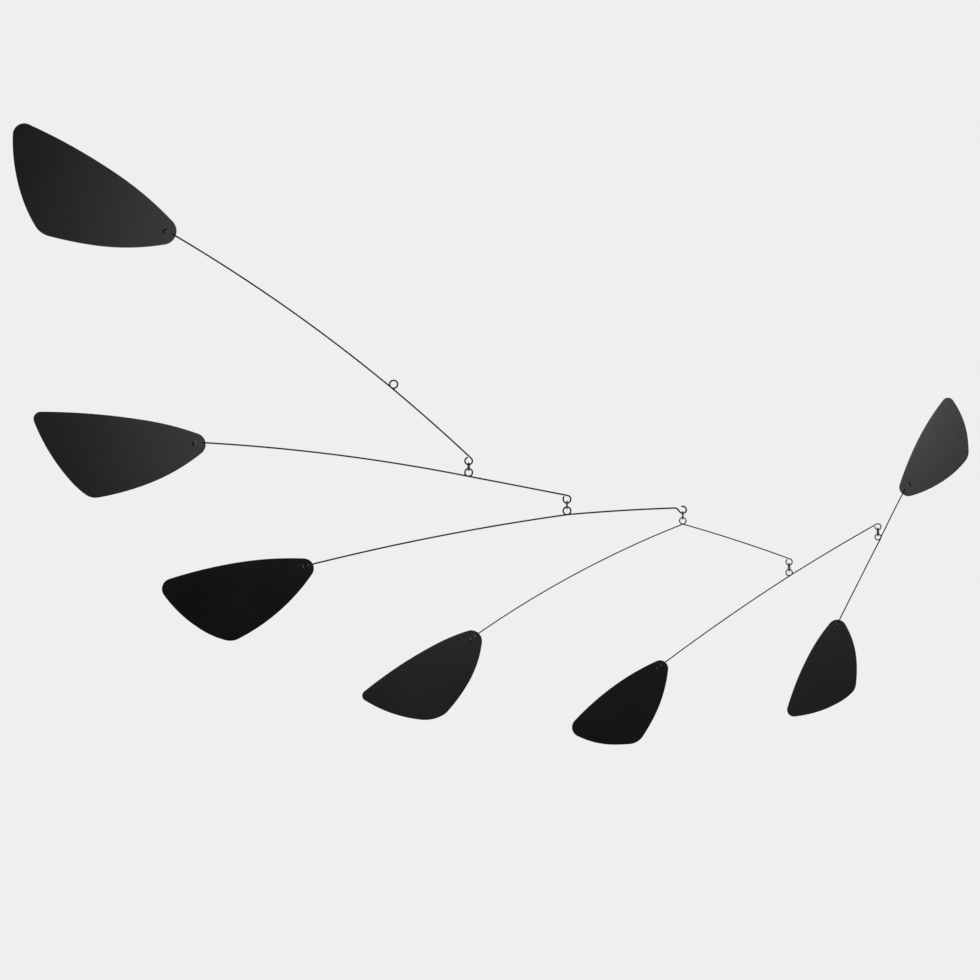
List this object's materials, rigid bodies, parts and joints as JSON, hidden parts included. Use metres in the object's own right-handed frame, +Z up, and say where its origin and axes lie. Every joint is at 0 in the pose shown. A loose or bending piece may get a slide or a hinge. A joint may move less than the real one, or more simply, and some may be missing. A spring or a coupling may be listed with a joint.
{
  "type": "hanging mobile",
  "caption": "Hanging mobile of flat black three-cornered leaves on bent wire arms, each arm hung from the one above by a small ring and free to swivel.",
  "frame": {"origin": "inside the top of the top arm's hanging loop, where the support bears, so the whole mobile hangs below it", "axes": "+Z up; the arms hang in the XZ plane, the largest leaf towards -X and the smallest leaves towards +X; the leaves' fronts, where the wires' cut ends show, face -Y"},
  "size_m": [0.956, 0.0116, 0.6222],
  "materials": {
    "leaf_sheet": "satin",
    "arm_wire": "satin",
    "link_ring": "satin"
  },
  "bodies": {
    "arm_1": {"arm_wire_1": "arm_wire", "leaf_1": "leaf_sheet", "link_ring_1": "link_ring"},
    "arm_2": {"arm_wire_2": "arm_wire", "leaf_2": "leaf_sheet", "link_ring_2": "link_ring"},
    "arm_3": {"arm_wire_3": "arm_wire", "leaf_3": "leaf_sheet", "link_ring_3": "link_ring"},
    "arm_4": {"arm_wire_4": "arm_wire", "leaf_4": "leaf_sheet", "link_ring_4": "link_ring"},
    "arm_5": {"arm_wire_5": "arm_wire", "leaf_5": "leaf_sheet", "link_ring_5": "link_ring"},
    "arm_6": {"arm_wire_6": "arm_wire", "leaf_6": "leaf_sheet", "leaf_7": "leaf_sheet"}
  },
  "joints": [
    {"name": "swivel_2", "type": "hinge", "parent": "arm_1", "child": "arm_2", "pos_m": [0.07503, 0, -0.09136], "axis": [0, 0, 1], "range_deg": [-25, 45]},
    {"name": "swivel_3", "type": "hinge", "parent": "arm_2", "child": "arm_3", "pos_m": [0.17334, 0, -0.12972], "axis": [0, 0, 1], "range_deg": [-33, 37]},
    {"name": "swivel_4", "type": "hinge", "parent": "arm_3", "child": "arm_4", "pos_m": [0.28911, 0, -0.1396], "axis": [0, 0, 1], "range_deg": [-38, 32]},
    {"name": "swivel_5", "type": "hinge", "parent": "arm_4", "child": "arm_5", "pos_m": [0.39546, 0, -0.19138], "axis": [0, 0, 1], "range_deg": [-35, 35]},
    {"name": "swivel_6", "type": "hinge", "parent": "arm_5", "child": "arm_6", "pos_m": [0.48434, 0, -0.1559], "axis": [0, 0, 1], "range_deg": [-38, 32]}
  ]
}
